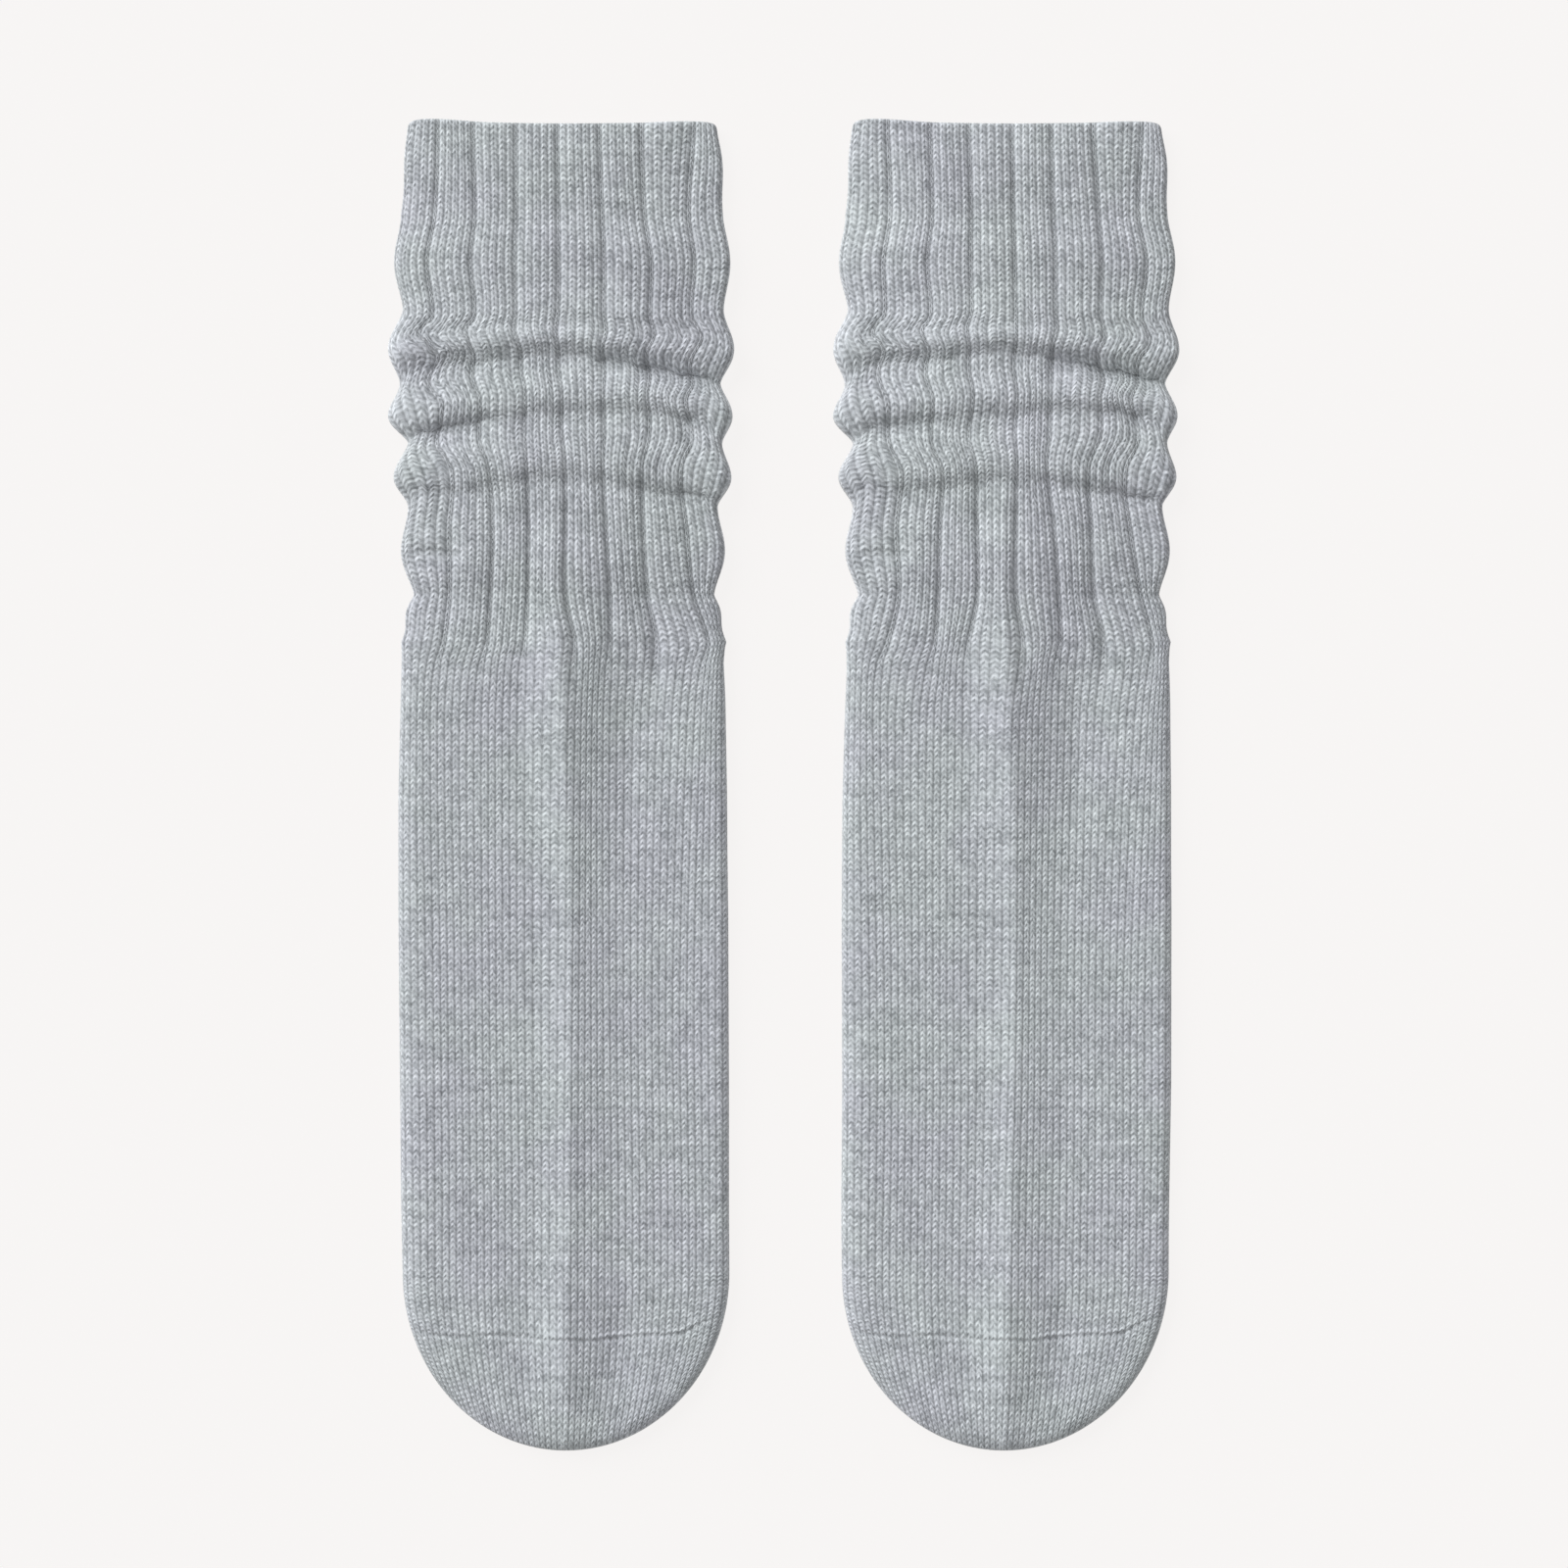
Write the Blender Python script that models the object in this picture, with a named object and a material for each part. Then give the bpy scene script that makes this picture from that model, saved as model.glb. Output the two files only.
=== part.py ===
"""A pair of thick slouch socks, laid flat side by side with the instep up.

Each sock is one knitted tube: a wall of cloth that is open at the cuff and
closed round the toe. It is lofted through rings. A ring lies in every trough
of the scrunched leg, and the rings between two troughs rise over the roll
that the pushed-down cloth makes there. The ribs of the leg are raised in the
outer rings only, over a plain inside, and the underside is flat.

Sizes are in millimetres. "Down" is measured from the top of the cuff towards
the toe, and "left" and "right" from the sock's middle line. The pair's frame
has +X to the right, +Y towards the cuffs and +Z up, with its origin on the
surface under the middle of the pair.
"""

import math

import bmesh
import bpy
from mathutils import Matrix, Vector

MM = 0.001

# Driving dimensions.
SOCK_SPACING = 114.6  # between the middle lines of the two socks
LENGTH = 344.6  # top of the cuff to the tip of the toe
WALL = 2.2  # thickness of one layer of the cloth
RIB_COUNT = 16  # ribs round the sock
GROOVE_SHARPNESS = 3  # above 1, the grooves between the ribs are narrow
RIM_ROUNDING = 0.7  # how far the middle of the cuff's rim stands out of its edges
RIM_INSET = 0.7  # how far the middle of the rim lies inside the outer face
CREASE_RISE = 1.1  # height of the crease pressed down the foot
CREASE_REACH = 12.0  # how far its slopes reach to each side
CREASE_SHARPNESS = 1.4  # above 1, its slopes are hollow

# The toe's outline is half an ellipse.
TOE_LENGTH = 45.7
TOE_HALF_WIDTH = 42.4
TOE_SHIFT = 1.0  # its middle lies this far right of the sock's
TOE_HEIGHT = 5.0
TOE_CREASE = 0.8  # share of the pressed crease's full height where the toe starts
TOE_STEPS = (0.0, 0.22, 0.42, 0.6, 0.75, 0.86, 0.93, 0.97, 0.993)  # rings, as shares of its length
TOE_TIP = 0.9995  # the last ring, which one face closes

# Points in one ring.
PER_RIB = 4
TOP_STEPS = RIB_COUNT // 2 * PER_RIB
CORNER_STEPS = 3
BASE_STEPS = 6
RING = TOP_STEPS + BASE_STEPS + 2 * CORNER_STEPS

# Where the five values of a trough's or a roll's line lie: shares of the half width.
PLACES = (-0.9, -0.45, 0.0, 0.45, 0.9)

# The troughs across the leg, from the cuff to the end of the rib.
#   down         where the trough meets the sock's two sides
#   left, right  reach of the sides there
#   rib          depth of the grooves between the ribs
TROUGHS = (
    # name         down    left   right  rib
    ("cuff_edge", 3.1, 40.1, 40.4, 0.9),
    ("band_end", 24.7, 41.7, 41.9, 1.0),
    ("waist", 49.3, 40.9, 41.9, 0.8),
    ("crease_1", 68.4, 41.9, 41.4, 0.5),
    ("crease_2", 83.9, 39.3, 41.4, 0.5),
    ("crease_3", 100.1, 39.3, 40.1, 0.8),
    ("ankle", 123.2, 38.3, 39.6, 1.0),
    ("rib_end", 135.4, 41.7, 42.4, 1.0),
)

# The rolls between one trough and the next.
#   left, right  reach of the sides where they bulge most
#   side         share of the way down at which the sides bulge most
#   crest        share of the way down at which the top is highest
#   height       top of the cloth there, at the five places
#   rib          depth of the grooves there
#   rings        how far down the roll's rings lie, as shares
WIDE_STEPS = (0.06, 0.28, 0.5, 0.78, 1.0)
ROLL_STEPS = (0.18, 0.36, 0.54, 0.7, 0.84, 0.94, 1.0)
FLARE_STEPS = (0.35, 0.7, 1.0)
ROLLS = (
    # name     left  right  side  crest  height                        rib  rings
    ("band", 41.0, 41.8, 0.5, 0.5, (6.4, 6.6, 6.7, 6.6, 6.4), 1.0, WIDE_STEPS),
    ("bulge", 43.2, 43.5, 0.5, 0.5, (7.4, 7.8, 7.9, 7.8, 7.4), 1.0, WIDE_STEPS),
    ("roll_1", 45.3, 45.2, 0.54, 0.7, (9.6, 10.6, 10.6, 11.0, 10.4), 0.4, ROLL_STEPS),
    ("roll_2", 45.3, 44.5, 0.54, 0.7, (9.8, 10.8, 11.0, 11.0, 10.4), 0.4, ROLL_STEPS),
    ("roll_3", 43.9, 44.1, 0.54, 0.7, (9.4, 10.4, 10.4, 11.0, 10.6), 0.5, ROLL_STEPS),
    ("calf", 41.6, 42.5, 0.5, 0.5, (7.6, 8.2, 8.2, 8.2, 7.8), 1.0, WIDE_STEPS),
    ("flare", 40.0, 41.0, 0.5, 0.5, (6.2, 6.5, 6.6, 6.5, 6.2), 1.0, FLARE_STEPS),
)
ROLL_FULLNESS = 0.75  # below 1, a roll's back is rounder than a wave's
BACK_RISE = 1.2  # how far the underside's edge of the cuff lies above the sides' corners

# The line and the height of each trough, which differ a little on the two socks.
TROUGH_LINES = {
    "sock_left": {
        # name       rise                          height
        "cuff_edge": ((2.3, 1.3, 1.0, 1.2, 1.7), (6.2, 6.3, 6.3, 6.3, 6.2)),
        "band_end": ((0.0, 0.0, 0.0, 0.0, 0.0), (6.3, 6.5, 6.6, 6.5, 6.3)),
        "waist": ((-1.4, -1.0, 0.0, -1.6, -1.0), (6.5, 6.8, 7.0, 6.8, 6.6)),
        "crease_1": ((4.1, 6.6, 8.1, 5.8, 0.3), (7.4, 6.9, 7.0, 6.0, 6.2)),
        "crease_2": ((3.6, 6.9, 8.1, 8.6, 5.6), (6.4, 6.0, 7.5, 7.6, 7.0)),
        "crease_3": ((5.1, 4.6, 7.9, 4.6, 3.6), (7.0, 7.0, 7.6, 6.6, 5.8)),
        "ankle": ((0.0, 0.0, 0.0, 0.0, 0.0), (6.2, 6.5, 6.6, 6.5, 6.2)),
        "rib_end": ((0.0, 0.0, 0.0, 0.0, 0.0), (5.4, 6.0, 6.2, 6.0, 5.4)),
    },
    "sock_right": {
        "cuff_edge": ((2.3, 1.3, 1.0, 1.2, 1.7), (6.2, 6.3, 6.3, 6.3, 6.2)),
        "band_end": ((0.0, 0.0, 0.0, 0.0, 0.0), (6.3, 6.5, 6.6, 6.5, 6.3)),
        "waist": ((-1.0, -1.4, 0.0, -1.2, -1.4), (6.4, 6.8, 7.0, 6.8, 6.6)),
        "crease_1": ((5.1, 6.9, 8.6, 5.8, 1.3), (6.8, 6.2, 7.4, 6.6, 5.9)),
        "crease_2": ((4.1, 6.3, 7.4, 8.9, 6.1), (6.9, 6.2, 7.4, 6.8, 7.2)),
        "crease_3": ((4.6, 4.6, 7.6, 5.1, 3.0), (7.0, 7.0, 7.2, 7.4, 5.6)),
        "ankle": ((0.0, 0.0, 0.0, 0.0, 0.0), (6.2, 6.5, 6.6, 6.5, 6.2)),
        "rib_end": ((0.0, 0.0, 0.0, 0.0, 0.0), (5.4, 6.0, 6.2, 6.0, 5.4)),
    },
}

# The foot below the rib. Its two layers of cloth lie on each other.
#   crease  share of the pressed crease's full height
FOOT = (
    # down  left  right  height  rib  crease
    (137.0, 41.8, 42.4, 5.6, 0.5, 0.6),
    (141.0, 41.9, 42.4, 5.2, 0.0, 1.0),
    (155.0, 42.1, 42.5, 5.0, 0.0, 1.0),
    (180.0, 42.5, 42.8, 5.0, 0.0, 0.9),
    (215.0, 42.5, 43.2, 5.0, 0.0, 0.7),
    (250.0, 42.1, 43.3, 5.0, 0.0, 0.7),
    (280.0, 41.8, 43.3, 5.0, 0.0, 0.8),
)

KNIT_COLOUR = (0.39, 0.415, 0.435, 1.0)
KNIT_ROUGHNESS = 0.92


class Ring:
    """One section across the sock: its place, its reach and the height of its top."""

    def __init__(self, down, left, right, heights, rib, rises=(0,) * 5, crease=0.0, back=0.0, toe=0.0):
        self.down = down
        self.left = left
        self.right = right
        self.heights = heights
        self.rises = rises
        self.rib = rib
        self.crease = crease
        self.back = back
        self.toe = toe


def blend(a, b, share):
    return a + (b - a) * share


def eased(share):
    """A share of the way that starts and ends level, as a wave does."""
    return (1 - math.cos(math.pi * share)) / 2


def along(values, ends, x):
    """The value at x on a smooth line through the five places, which ends in ends at both sides."""
    places = (-1.0,) + PLACES + (1.0,)
    heights = (ends[0],) + tuple(values) + (ends[1],)
    x = max(-1.0, min(1.0, x))
    for i in range(len(places) - 1):
        if x <= places[i + 1]:
            return blend(heights[i], heights[i + 1], eased((x - places[i]) / (places[i + 1] - places[i])))
    return heights[-1]


def bump(share, crest):
    """Height of a roll's back over its two troughs: 0 in the troughs and 1 on the crest."""
    turned = share ** (math.log(0.5) / math.log(crest))
    return max(0.0, math.sin(math.pi * turned)) ** ROLL_FULLNESS


def bulge(share, widest):
    """How far the roll's sides have swung out: 0 at both troughs and 1 where it is widest."""
    return eased(share / widest) if share < widest else eased((1 - share) / (1 - widest))


def leg_rings(name):
    """The rings of the ribbed leg, from the cuff's edge to the end of the rib."""
    lines = TROUGH_LINES[name]
    first = TROUGHS[0]
    rises, heights = lines[first[0]]
    rings = [Ring(*first[1:4], heights, first[4], rises, back=BACK_RISE)]
    for above, below, roll in zip(TROUGHS, TROUGHS[1:], ROLLS, strict=False):
        rises_above, heights_above = lines[above[0]]
        rises_below, heights_below = lines[below[0]]
        _, roll_left, roll_right, widest, crest, roll_heights, roll_rib, shares = roll
        for share in shares:
            up = bump(share, crest)
            out = bulge(share, widest)
            down, left, right, rib = (blend(a, b, share) for a, b in zip(above[1:], below[1:], strict=True))
            troughs = [blend(a, b, share) for a, b in zip(heights_above, heights_below, strict=True)]
            rings.append(
                Ring(
                    down,
                    blend(left, roll_left, out),
                    blend(right, roll_right, out),
                    tuple(blend(low, high, up) for low, high in zip(troughs, roll_heights, strict=True)),
                    blend(rib, roll_rib, up),
                    tuple(blend(a, b, share) for a, b in zip(rises_above, rises_below, strict=True)),
                    back=BACK_RISE * (1 - share) if above is first else 0.0,
                )
            )
    return rings


def foot_rings():
    """The rings of the foot and of the rounded toe."""
    rings = [
        Ring(down, left, right, (height,) * 5, rib, crease=crease)
        for down, left, right, height, rib, crease in FOOT
    ]
    toe_start = LENGTH - TOE_LENGTH
    for share in TOE_STEPS + (TOE_TIP,):
        rings.append(
            Ring(
                toe_start + TOE_LENGTH * share,
                TOE_HALF_WIDTH - TOE_SHIFT,
                TOE_HALF_WIDTH + TOE_SHIFT,
                (TOE_HEIGHT,) * 5,
                0.0,
                crease=TOE_CREASE * (1 - share),
                toe=share,
            )
        )
    return rings


def ring_places(ring, inset):
    """Where the ring's points lie: (x, 1 on the top or -1 on the base, place round the ribs)."""
    left = ring.left - inset
    right = ring.right - inset
    corner_left = ring.heights[0] / 2 - inset
    corner_right = ring.heights[-1] / 2 - inset
    arc_left = math.pi / 2 * corner_left
    arc_right = math.pi / 2 * corner_right
    flat = left + right - corner_left - corner_right
    places = []
    for i in range(TOP_STEPS + 1):
        walked = (arc_left + flat + arc_right) * i / TOP_STEPS
        if walked < arc_left:
            x = -left + corner_left * (1 - math.cos(walked / corner_left))
        elif walked > arc_left + flat:
            x = right - corner_right * (1 - math.cos((arc_left + flat + arc_right - walked) / corner_right))
        else:
            x = -left + corner_left + walked - arc_left
        places.append((x, 1, i))
    for i in range(1, CORNER_STEPS + 1):
        turn = math.pi / 2 * i / CORNER_STEPS
        places.append((right - corner_right * (1 - math.cos(turn)), -1, 0))
    for i in range(1, BASE_STEPS):
        places.append((blend(right - corner_right, -left + corner_left, i / BASE_STEPS), -1, 0))
    for i in range(CORNER_STEPS, 0, -1):
        turn = math.pi / 2 * i / CORNER_STEPS
        places.append((-left + corner_left * (1 - math.cos(turn)), -1, 0))
    return places


def fullness(ring, x, inset):
    """How nearly the cloth has its full height at x: 0 on the outline and 1 a corner's width inside it."""
    reach = (ring.left if x < 0 else ring.right) - inset
    corner = ring.heights[0 if x < 0 else -1] / 2 - inset
    if ring.toe:
        long = TOE_LENGTH - inset
        down = min(ring.toe * TOE_LENGTH, long) / long
        inside = reach * (1 - math.hypot(x / reach, down))
    else:
        inside = reach - abs(x)
    short = max(0.0, 1 - inside / corner)
    return math.sqrt(max(0.0, 1 - short * short))


def ring_points(ring, inset, ribbed):
    """The ring's points in the sock's own frame: from its middle line, down from the cuff, and up."""
    long = TOE_LENGTH - inset
    narrow = math.sqrt(1 - (min(ring.toe * TOE_LENGTH, TOE_TIP * long) / long) ** 2)
    points = []
    for x, side, place in ring_places(ring, inset):
        share = x / (ring.left if x < 0 else ring.right)
        round_by = fullness(ring, x * narrow, inset)
        middle = ring.heights[0 if x < 0 else -1] / 2
        down = ring.down
        if side > 0:
            top = along(ring.heights, (ring.heights[0], ring.heights[-1]), share)
            slope = max(0.0, 1 - abs(x - TOE_SHIFT) / CREASE_REACH)
            top += CREASE_RISE * ring.crease * slope**CREASE_SHARPNESS
            up = middle + (top - inset - middle) * round_by
            down -= along(ring.rises, (0.0, 0.0), share)
        else:
            up = middle - (middle - inset) * round_by
            down -= ring.back * round_by
        if ribbed and side > 0:
            wave = (1 + math.cos(2 * math.pi * place / PER_RIB)) / 2
            groove = ring.rib * wave**GROOVE_SHARPNESS
            up -= groove * round_by
            x -= math.copysign(groove * (1 - round_by), x)
        if ring.toe:
            down = min(down, LENGTH - inset)
            x = TOE_SHIFT * ring.toe + x * narrow
        points.append((x, down, up))
    return points


def build_sock(name, middle):
    """One sock as a closed wall: outer rings, the cuff's rim and the plainer inner rings."""
    mesh = bpy.data.meshes.new(name)
    bm = bmesh.new()
    rings = leg_rings(name) + foot_rings()

    def add_ring(points):
        return [bm.verts.new(((middle + x) * MM, (LENGTH / 2 - down) * MM, up * MM)) for x, down, up in points]

    def join(first, second):
        count = len(first)
        for i in range(count):
            after = (i + 1) % count
            bm.faces.new((first[i], second[i], second[after], first[after]))

    outer = [add_ring(ring_points(ring, 0.0, True)) for ring in rings]
    for first, second in zip(outer, outer[1:], strict=False):
        join(second, first)
    bm.faces.new(outer[-1])

    inner_rings = rings[::2] if len(rings) % 2 else rings[::2] + rings[-1:]
    inner = [add_ring(ring_points(ring, WALL, False)[::2]) for ring in inner_rings]
    for first, second in zip(inner, inner[1:], strict=False):
        join(first, second)
    bm.faces.new(list(reversed(inner[-1])))

    rim_points = ring_points(rings[0], RIM_INSET, False)
    rim = add_ring([(x, down - RIM_ROUNDING, up) for x, down, up in rim_points])
    join(outer[0], rim)
    for i, vertex in enumerate(inner[0]):
        after = inner[0][(i + 1) % len(inner[0])]
        near = [rim[(2 * i + k) % RING] for k in range(3)]
        bm.faces.new((near[0], vertex, near[1]))
        bm.faces.new((near[1], vertex, after))
        bm.faces.new((near[1], after, near[2]))

    bmesh.ops.recalc_face_normals(bm, faces=bm.faces)
    bm.to_mesh(mesh)
    bm.free()
    mesh.shade_smooth()
    mesh.set_sharp_from_angle(angle=math.radians(50))
    return bpy.data.objects.new(name, mesh)


def centre_pair(socks):
    """Moves the points so that the origin lies on the surface, under the middle of the pair."""
    points = [vertex.co for sock in socks for vertex in sock.data.vertices]
    low = Vector([min(point[k] for point in points) for k in range(3)])
    high = Vector([max(point[k] for point in points) for k in range(3)])
    middle = (low + high) / 2
    for sock in socks:
        sock.data.transform(Matrix.Translation((-middle.x, -middle.y, -low.z)))


def knit_material(name):
    """Thick cotton knit in a light, cool grey."""
    material = bpy.data.materials.new(name)
    material.use_nodes = True
    shader = material.node_tree.nodes["Principled BSDF"]
    shader.inputs["Base Color"].default_value = KNIT_COLOUR
    shader.inputs["Roughness"].default_value = KNIT_ROUGHNESS
    shader.inputs["Metallic"].default_value = 0.0
    return material


for old in list(bpy.data.objects):
    bpy.data.objects.remove(old, do_unlink=True)

pair = bpy.data.collections.new("sock_pair")
bpy.context.scene.collection.children.link(pair)
knit = knit_material("grey_knit")
socks = [build_sock("sock_left", -SOCK_SPACING / 2), build_sock("sock_right", SOCK_SPACING / 2)]
centre_pair(socks)
for sock in socks:
    sock.data.materials.append(knit)
    pair.objects.link(sock)
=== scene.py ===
"""A pair of thick slouch socks in grey melange cotton, laid flat side by side with the instep up.

Lengths in the socks' own sections are in millimetres and turn to metres where the mesh is made. "Down" runs
from the top of the cuff towards the toe. A wale is one column of stitches and a course is one row of them.
"""

import math

import bmesh
import bpy
import numpy as np
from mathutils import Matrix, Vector


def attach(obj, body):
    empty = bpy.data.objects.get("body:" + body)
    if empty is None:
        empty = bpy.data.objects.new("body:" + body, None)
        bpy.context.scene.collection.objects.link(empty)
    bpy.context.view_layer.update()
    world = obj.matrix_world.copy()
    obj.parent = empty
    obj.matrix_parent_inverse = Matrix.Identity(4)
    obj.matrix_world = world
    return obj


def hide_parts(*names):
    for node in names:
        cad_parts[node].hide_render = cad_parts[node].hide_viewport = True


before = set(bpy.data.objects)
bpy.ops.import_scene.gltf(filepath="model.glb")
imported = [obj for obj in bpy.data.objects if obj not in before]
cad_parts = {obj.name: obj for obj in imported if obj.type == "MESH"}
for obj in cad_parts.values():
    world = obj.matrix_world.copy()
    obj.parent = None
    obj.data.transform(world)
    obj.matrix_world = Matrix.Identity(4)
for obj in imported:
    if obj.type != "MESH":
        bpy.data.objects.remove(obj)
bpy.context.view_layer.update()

# ----------------------------------------------------------------------------------------------------------
# The two socks. Each is one tube of cotton knitted on a round machine of 96 needles, in one run from the
# cuff to the toe: a 5x1 rib for the leg, plain stitches for the foot, and pockets for the heel and the toes.
# The leg is pushed down in slouch rolls, and the foot was pressed flat, which left a crease down its middle.
# ----------------------------------------------------------------------------------------------------------

MM = 0.001
SPACING = 114.6  # between the middle lines of the two socks
ORIGIN_DOWN = 172.3  # from the top of the cuff to the place between the socks that is the origin
WALL = 2.2  # thickness of one layer of the cloth
WALES = 96
WALES_A_RIB = 6  # five that stand out and a sixth that is sunk between them
SUNK_WIDTH = 0.5  # the sunk wale's width in the leg, as a share of an even one's
WALE_DEPTH = 0.12  # from the back of a wale to the valley beside it
COURSE = 1.42  # height of one row of stitches along the cloth

# Mesh columns to a wale, on the instep's side and underneath.
TOP_COLUMNS = 4
BASE_COLUMNS = 2

# Where the values of a line across the sock lie, as shares of its half width.
PLACES = np.array((-1.0, -0.9, -0.45, 0.0, 0.45, 0.9, 1.0))

# The troughs across the leg: down at the sock's two sides, reach of the sides, depth of the rib there.
TROUGHS = (
    ("cuff_edge", 3.1, 40.5, 41.1, 1.1),
    ("band_end", 24.7, 42.2, 42.8, 1.1),
    ("waist", 49.3, 41.4, 42.8, 0.8),
    ("crease_1", 68.4, 42.3, 42.0, 1.0),
    ("crease_2", 83.9, 40.1, 42.4, 0.9),
    ("crease_3", 100.1, 40.3, 41.3, 1.1),
    ("ankle", 123.2, 39.0, 40.4, 1.5),
    ("rib_end", 135.4, 42.3, 43.3, 1.1),
)

# The rolls between them: reach of the sides, where the sides and the top stand highest, height of the top at
# the five inner places, depth of the rib there, and the number of mesh rows.
ROLLS = (
    ("band", 41.5, 42.8, 0.5, 0.5, (5.1, 6.6, 6.9, 6.3, 4.4), 1.2, 20),
    ("bulge", 43.9, 44.7, 0.5, 0.5, (6.6, 8.1, 8.3, 7.7, 5.7), 1.2, 24),
    ("roll_1", 45.1, 45.4, 0.54, 0.68, (8.7, 10.1, 10.2, 9.6, 7.4), 0.42, 34),
    ("roll_2", 45.2, 45.0, 0.54, 0.66, (8.6, 9.7, 9.7, 9.5, 7.4), 0.42, 32),
    ("roll_3", 43.8, 44.7, 0.54, 0.66, (8.3, 9.7, 9.7, 9.4, 7.5), 0.45, 32),
    ("calf", 42.3, 43.3, 0.5, 0.5, (6.6, 8.0, 8.2, 7.8, 6.4), 1.3, 24),
    ("flare", 41.2, 42.2, 0.5, 0.5, (5.4, 6.4, 6.6, 6.2, 5.2), 1.25, 18),
)

# How sharply each roll rises out of the crease above it and falls to the one below it.
ROLL_SLOPES = (2.0, 1.2)
SWING_BLUNT = 0.8  # how bluntly its sides swing out
LIP_CREST = 0.86  # where on the way down a roll its lip hangs furthest
FINE_STEPS = 200  # for measuring a roll's length before its rows are laid out evenly
CUFF_BACK = 1.2  # how far the back of the cuff's edge stands out past the front
CUFF_CORNER = 0.88  # where the cuff's edge starts to round down to the sides, as a share of its half width
RIM_ROUND = 0.9  # how far the rounded rim between the cuff's outside and inside stands out
RIM_ROWS = 5
INNER_STEP = 8  # the plain inside needs only every eighth row

# What differs from one sock to the other. Each trough's line rises towards the cuff by the first five values
# and the cloth's top there has the height of the last five.
LINES = {
    "sock_left": {
        "cuff_edge": ((2.3, 1.3, 1.0, 1.2, 1.7), (4.9, 6.2, 6.4, 5.9, 4.2)),
        "band_end": ((0.0, 0.0, 0.0, 0.0, 0.0), (5.1, 6.6, 6.9, 6.3, 4.4)),
        "waist": ((-1.4, -1.0, 0.0, -1.6, -1.0), (7.2, 8.6, 8.8, 8.2, 6.2)),
        "crease_1": ((3.1, 5.2, 6.8, 4.8, 1.3), (7.8, 8.9, 9.0, 7.8, 5.9)),
        "crease_2": ((2.6, 5.7, 7.1, 7.6, 4.6), (7.7, 9.1, 9.3, 8.9, 7.0)),
        "crease_3": ((3.8, 3.0, 6.4, 3.6, 2.6), (7.7, 8.9, 9.0, 8.5, 6.6)),
        "ankle": ((0.0, 0.0, 0.0, 0.0, 0.0), (5.4, 6.6, 6.9, 6.4, 5.2)),
        "rib_end": ((0.0, 0.0, 0.0, 0.0, 0.0), (5.2, 6.0, 6.2, 5.8, 5.0)),
    },
    "sock_right": {
        "cuff_edge": ((2.3, 1.3, 1.0, 1.2, 1.7), (4.9, 6.2, 6.4, 5.9, 4.2)),
        "band_end": ((0.0, 0.0, 0.0, 0.0, 0.0), (5.1, 6.6, 6.9, 6.3, 4.4)),
        "waist": ((-1.0, -1.4, 0.0, -1.2, -1.4), (7.2, 8.6, 8.8, 8.2, 6.2)),
        "crease_1": ((4.1, 5.6, 7.4, 5.0, 1.4), (7.8, 8.9, 9.1, 7.8, 5.8)),
        "crease_2": ((3.1, 5.1, 6.2, 7.9, 5.1), (7.8, 9.1, 9.2, 8.9, 7.1)),
        "crease_3": ((3.6, 3.3, 6.4, 4.1, 2.0), (7.8, 8.9, 8.9, 8.6, 6.5)),
        "ankle": ((0.0, 0.0, 0.0, 0.0, 0.0), (5.4, 6.6, 6.9, 6.4, 5.2)),
        "rib_end": ((0.0, 0.0, 0.0, 0.0, 0.0), (5.2, 6.0, 6.2, 5.8, 5.0)),
    },
}

# How far each roll's lower lip hangs over the crease below it, at the five places.
LIPS = {
    "sock_left": {
        "roll_1": (0.0, 0.2, 0.0, 0.5, 1.2),
        "roll_2": (1.0, 0.6, 0.0, 0.0, 0.4),
        "roll_3": (0.4, 0.2, 0.0, 0.2, 1.4),
    },
    "sock_right": {
        "roll_1": (0.0, 0.2, 0.0, 0.5, 1.3),
        "roll_2": (0.6, 0.4, 0.2, 0.0, 0.3),
        "roll_3": (0.0, 0.2, 0.2, 0.4, 1.4),
    },
}

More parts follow.
